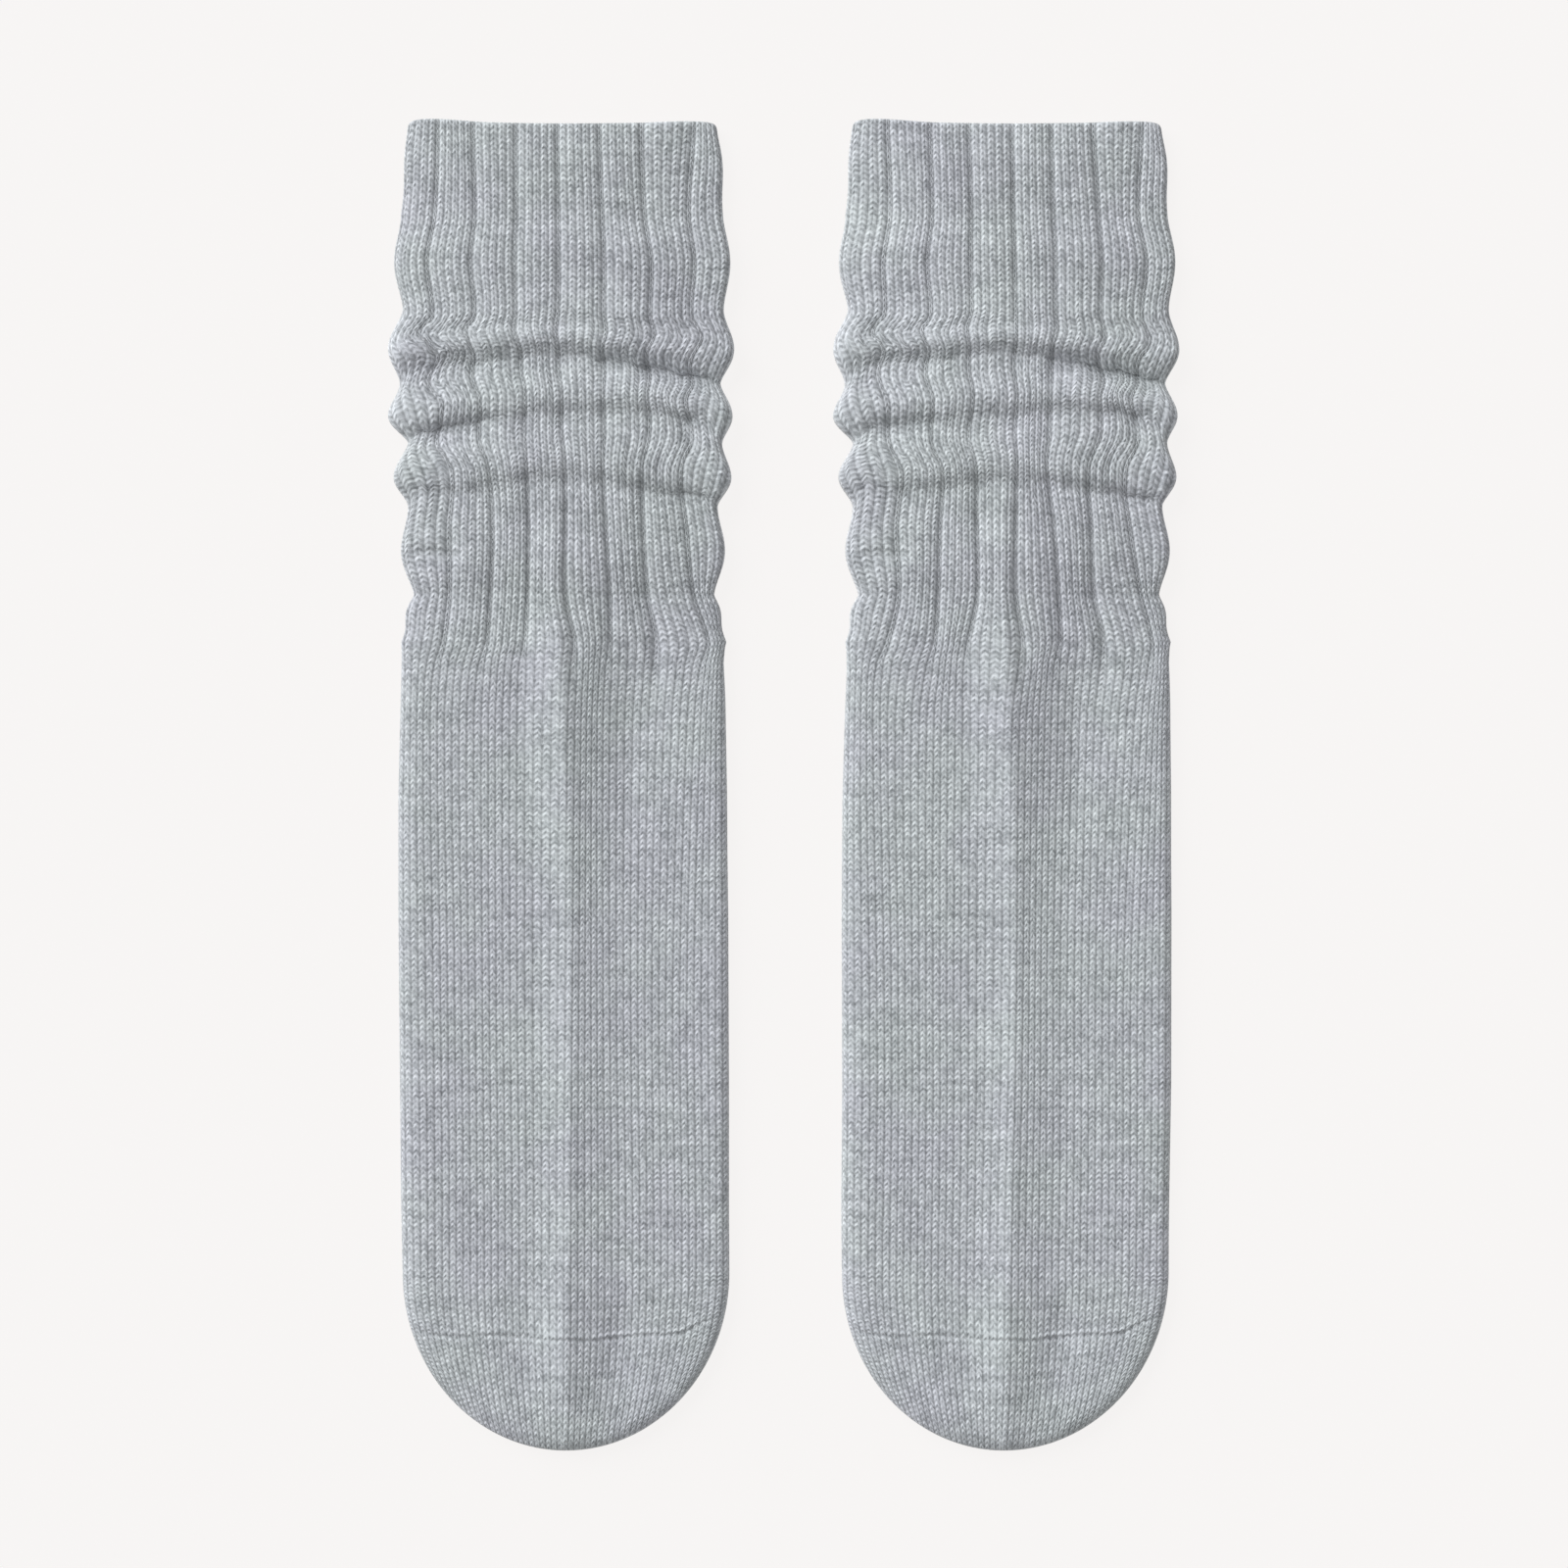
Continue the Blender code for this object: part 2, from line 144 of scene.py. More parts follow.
# The sharper creases and dents of the top: each runs from one place (across, down) through a second to a
# third. Then its depth, negative for a ridge, and how wide its upper and its lower slope are.
CREASES = {
    "sock_left": (
        (-42.6, 65.4, -24.0, 61.8, -8.0, 60.8, 1.15, 2.8, 7.5),
        (-16.0, 60.8, 0.0, 61.0, 18.0, 62.4, 1.15, 3.0, 7.5),
        (9.0, 61.6, 29.0, 65.4, 46.0, 70.6, 2.6, 4.8, 4.2),
        (-38.0, 81.6, -27.0, 79.6, -15.0, 77.6, 1.5, 2.3, 4.6),
        (-19.0, 78.2, 2.0, 76.8, 32.0, 77.2, 1.05, 2.8, 6.0),
        (28.0, 77.0, 35.0, 78.2, 41.0, 80.6, 1.0, 1.6, 3.4),
        (-42.0, 95.8, -31.0, 97.2, -18.0, 96.6, 0.4, 1.5, 2.8),
        (-25.0, 96.8, -6.0, 93.6, 12.0, 94.2, 0.9, 2.8, 3.8),
        (8.0, 94.0, 26.0, 97.2, 41.5, 97.8, 1.1, 2.6, 3.2),
        (38.0, 75.6, 32.2, 79.0, 33.4, 85.0, 0.6, 1.0, 1.4),
        (32.4, 80.5, 34.6, 86.2, 40.5, 90.5, 0.7, 1.0, 1.5),
        (24.0, 80.8, 27.0, 86.4, 24.4, 93.0, 0.5, 1.4, 1.0),
        (17.0, 84.0, 19.0, 88.0, 17.0, 92.5, 0.3, 1.4, 1.0),
        (-36.0, 55.0, -31.0, 58.6, -33.0, 62.5, 0.4, 1.0, 1.4),
        (-40.5, 112.0, -33.0, 112.4, -25.5, 114.0, 1.1, 1.4, 3.2),
        (29.0, 45.0, 33.0, 49.0, 36.0, 54.0, 0.5, 1.2, 1.6),
        (30.5, 0.5, 33.5, 4.5, 34.5, 9.5, 0.6, 1.6, 1.6),
        (2.6, 133.0, 3.2, 141.0, 4.0, 149.0, 0.4, 2.4, 1.6),
        (23.6, 131.0, 24.4, 139.0, 25.4, 148.0, 0.6, 2.2, 1.6),
        (18.0, 134.0, 18.0, 160.0, 17.0, 188.0, 0.9, 9.0, 9.0),
        (15.0, 306.0, 14.0, 319.0, 11.0, 336.0, 0.9, 7.0, 7.0),
    ),
    "sock_right": (
        (-41.0, 64.8, -24.0, 61.9, -10.0, 60.6, 1.15, 2.8, 7.5),
        (-16.0, 60.6, 2.0, 61.2, 20.0, 63.0, 1.15, 3.0, 7.5),
        (10.0, 61.8, 29.5, 65.8, 45.5, 70.4, 2.6, 4.8, 4.2),
        (-38.0, 80.6, -27.0, 79.0, -17.0, 77.8, 1.4, 2.3, 4.6),
        (-20.0, 78.4, 0.0, 77.2, 18.0, 75.2, 1.05, 2.8, 6.0),
        (12.0, 75.6, 28.0, 76.4, 41.0, 79.4, 1.0, 1.8, 4.0),
        (-42.0, 95.8, -32.0, 97.4, -21.0, 96.6, 0.3, 1.5, 2.8),
        (-28.0, 97.2, -12.0, 95.2, 5.0, 93.4, 0.9, 2.8, 3.8),
        (4.0, 93.6, 24.0, 97.0, 41.0, 98.0, 1.1, 2.6, 3.2),
        (38.5, 74.8, 33.0, 78.4, 34.0, 84.0, 0.5, 1.0, 1.4),
        (33.0, 80.0, 35.0, 85.8, 40.0, 90.8, 0.7, 1.0, 1.5),
        (25.0, 81.6, 27.4, 86.8, 25.4, 92.5, 0.5, 1.4, 1.0),
        (-35.0, 54.6, -30.6, 58.2, -32.0, 62.0, 0.4, 1.0, 1.4),
        (-39.0, 113.6, -32.0, 112.8, -24.5, 113.8, 1.0, 1.4, 3.2),
        (30.0, 46.0, 33.6, 50.0, 37.0, 53.6, 0.4, 1.2, 1.6),
        (31.0, 0.5, 34.5, 4.5, 35.0, 9.0, 0.6, 1.6, 1.6),
        (3.4, 133.0, 3.6, 141.0, 3.4, 149.0, 0.4, 2.4, 1.6),
        (24.4, 131.0, 24.6, 139.0, 25.6, 148.0, 0.6, 2.2, 1.6),
        (18.0, 134.0, 18.0, 160.0, 17.0, 188.0, 0.9, 9.0, 9.0),
        (14.5, 306.0, 14.0, 319.0, 11.0, 336.0, 0.9, 7.0, 7.0),
    ),
}

# The same underneath, where each lifts the cloth a little off the ground: the creases between the rolls, the
# short-row lines of the heel pocket and the fold where the pocket lies over, and the toe's seam.
UNDER_CREASES = (
    (-41.5, 69.0, -5.0, 66.6, 40.5, 70.2, 0.9, 1.6, 2.4),
    (-39.0, 84.6, 2.0, 82.4, 40.0, 85.0, 0.9, 1.6, 2.4),
    (-38.5, 100.6, -6.0, 98.4, 39.0, 101.2, 0.9, 1.6, 2.4),
    (-30.0, 58.2, -14.0, 56.4, 4.0, 58.4, 0.5, 1.4, 2.0),
    (8.0, 92.6, 22.0, 90.8, 36.0, 93.4, 0.5, 1.4, 2.0),
    (-34.0, 112.4, -22.0, 110.8, -10.0, 112.8, 0.5, 1.4, 2.0),
    (6.0, 118.6, 18.0, 116.8, 30.0, 118.8, 0.4, 1.4, 2.0),
    (-41.5, 139.0, -30.0, 151.0, -16.0, 163.0, 0.5, 0.7, 0.9),
    (41.5, 139.0, 30.0, 151.0, 16.0, 163.0, 0.5, 0.9, 0.7),
    (-34.0, 170.0, 0.0, 181.0, 33.0, 171.0, 0.8, 2.4, 3.4),
    (-36.0, 313.6, 0.0, 316.6, 36.0, 313.8, 0.4, 0.6, 0.7),
)

# The toe's linked seam, in runs across the toes: a fine groove with a low ridge of loops on its heel side.
# Each run goes from one place (across, down) through a second to a third, and then comes its depth.
SEAM = (
    (-39.0, 312.8, -33.0, 315.0, -24.0, 315.4, 0.3),
    (-28.0, 315.6, -17.0, 314.9, 0.0, 316.1, 0.25),
    (-7.0, 315.9, 9.0, 316.3, 25.0, 314.8, 0.35),
    (19.0, 315.2, 31.0, 314.7, 38.2, 310.6, 0.35),
)
SEAM_SLOPES = (0.5, 0.6)  # half widths of the groove
RIDGE_SLOPES = (0.6, 0.6)
RIDGE_UP = 0.9  # from the groove towards the heel
RIDGE_SHARE = 0.6  # of the groove's depth
CREASE_ENDS = 0.7  # how bluntly every crease runs out at its ends

# Where the seven grooves between the eight ribs of the instep look darkest, from the sock's middle line. Each
# groove's own middle lies a little to the right of that, because the light comes from the left.
DARK_SIDE = 0.5
GROOVES = {
    "sock_left": (
        (2.2, (-32.2, -23.1, -11.9, -1.3, 9.6, 20.5, 34.0)),
        (24.7, (-33.0, -22.6, -11.9, -1.0, 10.4, 21.3, 32.7)),
        (36.4, (-35.0, -23.6, -12.2, -0.8, 10.9, 23.1, 34.2)),
        (49.9, (-33.5, -22.6, -11.9, -1.0, 10.9, 22.8, 33.5)),
        (57.0, (-36.8, -24.9, -12.2, -1.5, 11.4, 23.8, 36.0)),
        (64.3, (-32.0, -22.8, -10.7, -1.0, 10.4, 21.8, 33.0)),
        (71.9, (-34.5, -23.1, -10.4, -0.8, 10.9, 22.6, 33.7)),
        (78.3, (-31.0, -21.1, -9.4, 0.0, 10.7, 22.1, 32.0)),
        (88.4, (-32.2, -21.3, -9.6, 0.0, 10.9, 22.6, 33.5)),
        (95.3, (-28.4, -18.8, -9.1, 0.8, 10.7, 20.8, 30.7)),
        (108.7, (-29.2, -17.8, -8.6, 1.0, 11.4, 21.1, 32.2)),
        (123.2, (-29.2, -18.5, -8.9, 1.0, 12.4, 22.1, 34.0)),
        (135.4, (-30.7, -19.5, -9.6, 3.3, 12.4, 24.4, 37.8)),
        (141.7, (-32.5, -21.1, -10.4, 3.0, 11.9, 24.1, 36.3)),
        (155.6, (-33.5, -22.1, -10.9, 2.3, 11.2, 23.1, 34.8)),
        (223.0, (-32.7, -21.8, -10.9, 1.6, 11.2, 22.1, 33.0)),
        (290.0, (-32.2, -21.3, -10.4, 1.2, 11.7, 22.6, 33.5)),
    ),
    "sock_right": (
        (2.2, (-31.0, -20.0, -9.9, 1.3, 11.4, 22.3, 35.0)),
        (24.7, (-30.4, -19.5, -9.4, 1.5, 11.9, 23.6, 34.0)),
        (36.4, (-32.2, -20.8, -9.6, 1.8, 12.4, 24.4, 36.0)),
        (49.9, (-32.0, -20.0, -9.4, 2.0, 12.4, 24.1, 34.8)),
        (57.0, (-35.0, -22.3, -10.7, 2.0, 12.7, 25.1, 36.8)),
        (64.3, (-32.2, -20.5, -10.1, 2.0, 11.4, 23.3, 33.5)),
        (71.9, (-33.5, -21.3, -10.1, 1.5, 11.2, 24.9, 33.7)),
        (78.3, (-31.2, -19.5, -9.1, 2.3, 10.9, 23.8, 31.7)),
        (88.4, (-30.7, -19.8, -10.1, 1.8, 10.7, 23.8, 33.7)),
        (95.3, (-27.7, -17.0, -8.4, 2.3, 9.9, 20.8, 30.2)),
        (108.7, (-28.9, -17.5, -8.1, 2.0, 11.9, 21.6, 31.7)),
        (123.2, (-28.2, -18.0, -7.9, 2.0, 13.2, 22.3, 34.5)),
        (135.4, (-31.0, -18.8, -10.1, 3.8, 13.7, 24.9, 37.5)),
        (141.7, (-33.5, -20.5, -10.9, 3.3, 12.4, 24.6, 36.8)),
        (155.6, (-34.2, -22.1, -10.9, 1.8, 11.9, 23.3, 35.3)),
        (223.0, (-32.7, -21.8, -10.9, 1.6, 11.2, 22.1, 33.0)),
        (290.0, (-32.2, -21.3, -10.4, 1.2, 11.7, 22.6, 33.5)),
    ),
}

# Each groove is a broad hollow and a narrow one, which is the sunk wale itself.
GROOVE_BROAD = 0.4  # the broad one's share of the depth
GROOVE_HOLLOW = 1.4  # how hollow it is
GROOVE_NARROW = 0.7  # half width of the narrow one, in wales
UNDER_RIB = 0.6  # depth of the relief underneath, as a share of that on top

# Some of the rib's sunk wales are drawn in less than others: share of the depth of each, round the sock.
SUNK_DEPTHS = (1.0, 0.45, 0.66, 0.74, 0.72, 0.72, 0.8, 0.42, 1.0, 0.7, 0.8, 0.75, 0.7, 0.85, 0.75, 0.7)

# The foot: down, reach of the sides, height of the top, depth of the rib, size of the pressed crease.
FOOT = (
    (135.4, 42.3, 43.3, 5.9, 1.1, 1.55),
    (137.0, 42.1, 42.8, 5.8, 0.7, 1.7),
    (141.0, 41.9, 42.4, 5.5, 0.35, 1.95),
    (150.0, 42.0, 42.5, 5.2, 0.12, 2.2),
    (158.0, 42.1, 42.5, 5.0, 0.0, 2.15),
    (175.0, 42.5, 42.8, 5.0, 0.0, 1.7),
    (190.0, 42.5, 42.9, 5.0, 0.0, 1.2),
    (205.0, 42.5, 43.1, 5.0, 0.0, 0.9),
    (250.0, 42.1, 43.3, 5.0, 0.0, 0.85),
    (280.0, 41.8, 43.3, 5.0, 0.0, 0.9),
    (298.9, 41.4, 43.4, 5.0, 0.0, 1.1),
)
CREASE_RISE = 1.5  # of a crease of size 1
CREASE_BLUNT = 0.9  # how far its top is rounded off
CREASE_EDGE = 0.25  # height of the finer fold on it
CREASE_EDGE_REACH = 3.4
CREASE_FULL = 0.85  # size from which its slopes reach all the way
CREASE_HOLLOW = 1.15  # how hollow its slopes are
# Where it runs: down, across from the middle line, and how far its left and its right slope reach.
CREASE_LINE = (
    (135.0, 0.0, 10.0, 17.0),
    (152.0, 0.5, 10.0, 17.0),
    (172.0, 1.4, 10.5, 15.5),
    (205.0, 2.4, 8.4, 12.0),
    (280.0, 2.3, 7.2, 12.0),
    (299.0, 1.8, 8.6, 13.0),
    (318.0, 1.3, 10.0, 13.5),
)
# It runs out in the leg: down, and its size. On the toe its size is a start, a rise along the toe, and a fall
# with the cube of the way to the tip.
LEG_CREASE = ((98.0, 0.0), (112.0, 0.7), (135.4, 1.55))
TOE_CREASE = (1.1, 1.3, -2.4)

# Where the foot starts, it still has a little of the leg's crown and of the rib's gathers, for this far down.
FOOT_START = TROUGHS[-1][1]
FOOT_HEIGHT = 5.0
CROWN = (-0.7, 0.1, 0.3, -0.1, -0.9)
CROWN_FADE = 16.0
GATHER_FADE = 8.0

SHOULDER = (6.5, 3.4)  # how far in from its outline the top layer has its full height, left and right

# How far each sock lies to the right of its straight middle line: down, and sideways.
SWAY = {
    "sock_left": ((0.0, -0.3), (130.0, -0.3), (150.0, 0.0), (345.1, 0.0)),
    "sock_right": (
        (0.0, 0.3),
        (135.0, 0.4),
        (143.0, 0.8),
        (200.0, 0.4),
        (250.0, 0.1),
        (290.0, -0.6),
        (345.1, -1.0),
    ),
}

# The rolls and their creases waver a little up and down: half height and turns in a millimetre of each wave
# across, where they start and end on the way down, and where the waves start on each sock.
WAVER = ((0.34, 0.095), (0.26, 0.19), (0.14, 0.37))
WAVER_SPAN = (44.0, 54.0, 100.0, 112.0)
WAVER_START = {"sock_left": 0.9, "sock_right": 2.7}
WAVER_SPREAD = 9.0  # how differently waves of other lengths start
WAVER_LEAN = 0.05  # how far they move on for each millimetre down, in radians
WAVER_EDGE = 0.1  # they run out over this share of the half width

# The toe's outline is half an ellipse, and its middle lies a little right of the sock's.
TOE_LENGTH = 46.2
TOE_HALF_WIDTH = 42.4
TOE_SHIFT = 1.0
TOE_START = 298.9  # down
TOE_LEAN = 0.78  # width left between the wales at the tip, as a share of that where the toe starts
DRIFT_FADE = 0.4  # over this last share of the toe the grooves go back to even places
VALLEY_FADE = 0.15  # and over this one the valleys between the wales run out

# The mesh rows of the foot, as first, last and number, and of the toe, as shares of its length. They lie
# close together where the rib ends, at the toe's seam and at the tip.
FOOT_ROWS = ((135.9, 141.0, 8), (143.4, 298.0, 56))
TOE_ROWS = ((0.0, 0.27, 6), (0.29, 0.52, 28), (0.56, 0.84, 7))
TIP_ROWS = (0.88, 0.915, 0.94, 0.96, 0.975, 0.987, 0.995, 1.0)

# A row's values where the cloth is plain.
PLAIN_ROW = {
    "rises": np.zeros(5),
    "lip": np.zeros(5),
    "rib": 0.0,
    "back": 0.0,
    "square": 0.0,
    "gather": 0.0,
    "toe": 0.0,
}


def eased(share):
    """A share of the way that starts and ends level, as a wave does."""
    return (1 - np.cos(np.pi * share)) / 2


def curve(values, places, x):
    """Values at places, one line for each row, read at x along a smooth curve through them."""
    steps = np.diff(places)
    slopes = np.zeros_like(values)
    slopes[:, 1:-1] = (values[:, 2:] - values[:, :-2]) / (places[2:] - places[:-2])
    span = np.clip(np.searchsorted(places, x, side="right") - 1, 0, len(steps) - 1)
    row = np.arange(len(values))[:, None]
    wide = steps[span]
    t = np.clip((x - places[span]) / wide, 0, 1)
    low, high = values[row, span], values[row, span + 1]
    rise_low, rise_high = slopes[row, span] * wide, slopes[row, span + 1] * wide
    return (
        low * (1 + 2 * t) * (1 - t) ** 2
        + rise_low * t * (1 - t) ** 2
        + high * t**2 * (3 - 2 * t)
        + rise_high * t**2 * (t - 1)
    )


def hump(share, crest, before=1.0, after=1.0):
    """0 in the troughs before and after a roll and 1 on its crest, with a sharpness for each slope."""
    wave = np.maximum(0, np.sin(np.pi * share ** (math.log(0.5) / math.log(crest))))
    return wave ** np.where(share < crest, before, after)


def swing(share, widest):
    """How far a roll's sides have swung out: 0 at its troughs and 1 where it is widest."""
    return np.where(share < widest, eased(share / widest), eased((1 - share) / (1 - widest))) ** SWING_BLUNT


def evenly(x, y, count):
    """Shares from 0 to 1 that cut the line through x and y, given at even shares, in equal lengths."""
    walked = np.concatenate(([0], np.cumsum(np.hypot(np.diff(x), np.diff(y)))))
    return np.interp(np.linspace(0, walked[-1], count + 1), walked, np.linspace(0, 1, len(x)))


def leg_rows(name):
    """The mesh rows of the leg, from the cuff's edge to the end of the rib, as lists of values."""
    lines, lips = LINES[name], LIPS[name]
    rows = []
    for above, below, roll in zip(TROUGHS, TROUGHS[1:], ROLLS, strict=False):
        wave, left, right, widest, crest, heights, rib, count = roll
        (rises_above, heights_above), (rises_below, heights_below) = lines[above[0]], lines[below[0]]
        lip = np.array(lips.get(wave, (0,) * 5))
        at_cuff = above[0] == "cuff_edge"
        fine = np.linspace(0, 1, FINE_STEPS)
        down = above[1] + (below[1] - above[1]) * fine + lip.mean() * hump(fine, LIP_CREST)
        top = (heights[2] - heights_above[2]) * hump(fine, crest, *ROLL_SLOPES)
        for share in evenly(down, top, count)[0 if not rows else 1 :]:
            level, *reach, trough_rib = (
                a * (1 - share) + b * share for a, b in zip(above[1:], below[1:], strict=True)
            )
            up = float(hump(share, crest, *ROLL_SLOPES))
            full = float(hump(share, crest))
            out = float(swing(share, widest))
            low = np.array(heights_above) * (1 - share) + np.array(heights_below) * share
            row = {
                "down": level,
                "left": reach[0] + (left - reach[0]) * out,
                "right": reach[1] + (right - reach[1]) * out,
                "heights": low + (np.array(heights) - low) * up,
                "rises": np.array(rises_above) * (1 - share) + np.array(rises_below) * share,
                "rib": trough_rib * (1 - full) + rib * full,
                "lip": lip * float(hump(share, LIP_CREST)),
                "back": CUFF_BACK * (1 - share) if at_cuff else 0.0,
                "square": max(0.0, 1 - 2 * share) if at_cuff else 0.0,
                "gather": 1.0,
                "crease": float(np.interp(level, *zip(*LEG_CREASE, strict=True))),
                "toe": 0.0,
            }
            rows.append(row)
    return rows


def foot_rows():
    """The mesh rows of the foot and the toe."""
    levels, *columns = zip(*FOOT, strict=True)
    rows = []
    for down in np.concatenate([np.linspace(*span) for span in FOOT_ROWS]):
        left, right, height, rib, crease = (np.interp(down, levels, values) for values in columns)
        crown = max(0.0, 1 - (down - FOOT_START) / CROWN_FADE) * np.array(CROWN)
        row = {
            **PLAIN_ROW,
            "down": down,
            "left": left,
            "right": right,
            "heights": height + crown,
            "rib": rib,
            "gather": max(0.0, 1 - (down - FOOT_START) / GATHER_FADE),
            "crease": crease,
        }
        rows.append(row)
    start, rise, fall = TOE_CREASE
    for share in np.concatenate([np.linspace(*span) for span in TOE_ROWS] + [TIP_ROWS]):
        row = {
            **PLAIN_ROW,
            "down": TOE_START,
            "left": TOE_HALF_WIDTH - TOE_SHIFT,
            "right": TOE_HALF_WIDTH + TOE_SHIFT,
            "heights": np.full(5, FOOT_HEIGHT),
            "crease": start + rise * share + fall * share**3,
            "toe": share,
        }
        rows.append(row)
    return rows


def laid_round(wale, gather):
    """Where a wale lies round the tube. In the rib, the sunk wales draw in and the others spread."""
    p = wale % WALES_A_RIB
    narrow = 1 - (1 - SUNK_WIDTH) * gather
    even = (WALES_A_RIB - narrow) / (WALES_A_RIB - 1)
    last = WALES_A_RIB - (WALES_A_RIB - p) * narrow
    drawn = np.where(p > WALES_A_RIB - 0.5, last, narrow / 2 + (p - 0.5) * even)
    return wale - p + np.where(p < 0.5, p * narrow, drawn)


def crosswise(laid, left, right, corner_left, corner_right):
    """How far from the middle line a place round the tube lies. The tube's two sides are half circles."""
    flat = left + right - corner_left - corner_right
    turn_left, turn_right = np.pi / 2 * corner_left, np.pi / 2 * corner_right
    whole = turn_left + flat + turn_right
    half = laid / (WALES / 2)
    walked = whole * np.where(half > 1, 2 - half, half)
    from_left = np.clip(walked / corner_left, 0, np.pi / 2)
    from_right = np.clip((whole - walked) / corner_right, 0, np.pi / 2)
    x = walked - turn_left - left + corner_left
    x = np.where(walked < turn_left, corner_left * (1 - np.cos(from_left)) - left, x)
    return np.where(walked > whole - turn_right, right - corner_right * (1 - np.cos(from_right)), x)


def creased(x, down, creases):
    """How deep the creases are at each point."""
    depth = np.zeros_like(x)
    for x0, down0, x1, down1, x2, down2, deep, above, below in creases:
        nearest = np.full_like(x, 1e9)
        dent = np.zeros_like(x)
        for i, (xa, da, xb, db) in enumerate(((x0, down0, x1, down1), (x1, down1, x2, down2))):
            length = math.hypot(xb - xa, db - da)
            along = np.clip(((x - xa) * (xb - xa) + (down - da) * (db - da)) / length**2, 0, 1)
            side = (down - da) * (xb - xa) - (x - xa) * (db - da)
            off = np.hypot(x - xa - along * (xb - xa), down - da - along * (db - da))
            share = (i + along) / 2
            slope = np.exp(-((off / np.where(side < 0, above, below)) ** 2))
            here = deep * np.sin(np.pi * share) ** CREASE_ENDS * slope
            dent = np.where(off < nearest, here, dent)
            nearest = np.minimum(nearest, off)
        depth += dent
    return depth


def pressed_crease(x, down, crease):
    """How high the crease that was pressed down the instep stands at each point."""
    levels, *lines = zip(*CREASE_LINE, strict=True)
    line, reach_left, reach_right = (np.interp(down, levels, values) for values in lines)
    beside = x - line
    reach = np.clip(crease / CREASE_FULL, 0.1, 1) * np.where(beside < 0, reach_left, reach_right)
    slope = np.clip(1 - (np.hypot(beside, CREASE_BLUNT) - CREASE_BLUNT) / reach, 0, 1)
    edge = np.clip(1 - np.abs(beside) / CREASE_EDGE_REACH, 0, 1)
    return CREASE_RISE * crease * slope**CREASE_HOLLOW + CREASE_EDGE * np.clip(crease, 0, 1) * edge


def wavered(x, down, place, start):
    """How far the lines of the rolls waver towards the cuff at each point."""
    rise = np.zeros_like(x)
    for high, turns in WAVER:
        rise += high * np.sin(2 * np.pi * turns * x + start * (1 + WAVER_SPREAD * turns) + WAVER_LEAN * down)
    return rise * np.interp(down, WAVER_SPAN, (0, 1, 1, 0)) * np.clip((1 - np.abs(place)) / WAVER_EDGE, 0, 1)


def sunk_by(wale, rib, toe):
    """How deep the rib's grooves and the valleys between the wales are at each point."""
    from_groove = np.abs((wale + WALES_A_RIB / 2) % WALES_A_RIB - WALES_A_RIB / 2)
    depth = np.array(SUNK_DEPTHS)[np.round(wale / WALES_A_RIB).astype(int) % len(SUNK_DEPTHS)]
    broad = (0.5 + 0.5 * np.cos(np.pi * from_groove / (WALES_A_RIB / 2))) ** GROOVE_HOLLOW
    narrow = np.exp(-((from_groove / GROOVE_NARROW) ** 2))
    groove = GROOVE_BROAD * broad + (1 - GROOVE_BROAD) * narrow
    valley = np.abs((wale + 0.5) % 1 - 0.5) * 2
    return rib * depth * groove + WALE_DEPTH * valley**2 * np.clip((1 - toe) / VALLEY_FADE, 0, 1)


def groove_drift(even, down, toe, grooves):
    """How far each groove of the instep lies to the right of its even place, row by row."""
    drift = np.zeros_like(even)
    levels = np.array([line[0] for line in grooves])
    for i in range(1, even.shape[1] - 1):
        across = np.array([[line[1][i - 1] + DARK_SIDE for line in grooves]])
        drift[:, i] = curve(across, levels, np.clip(down.T, levels[0], levels[-1]))[0] - even[:, i]
    return drift * np.clip((1 - toe) / DRIFT_FADE, 0, 1)


def bent_to_toe(x, down, toe, inset):
    """On the toe, the wales lean in towards the tip and the courses bow, so that both end on its outline."""
    half_width, length = TOE_HALF_WIDTH - inset, TOE_LENGTH - inset
    share = (x - TOE_SHIFT) / half_width
    toe_x = TOE_SHIFT + half_width * share * np.sqrt(1 - (1 - TOE_LEAN**2) * toe**2)
    toe_down = TOE_START + length * toe * np.sqrt(np.clip(1 - TOE_LEAN**2 * share**2, 0, 1))
    return np.where(toe > 0, toe_x, x), np.where(toe > 0, toe_down, down)


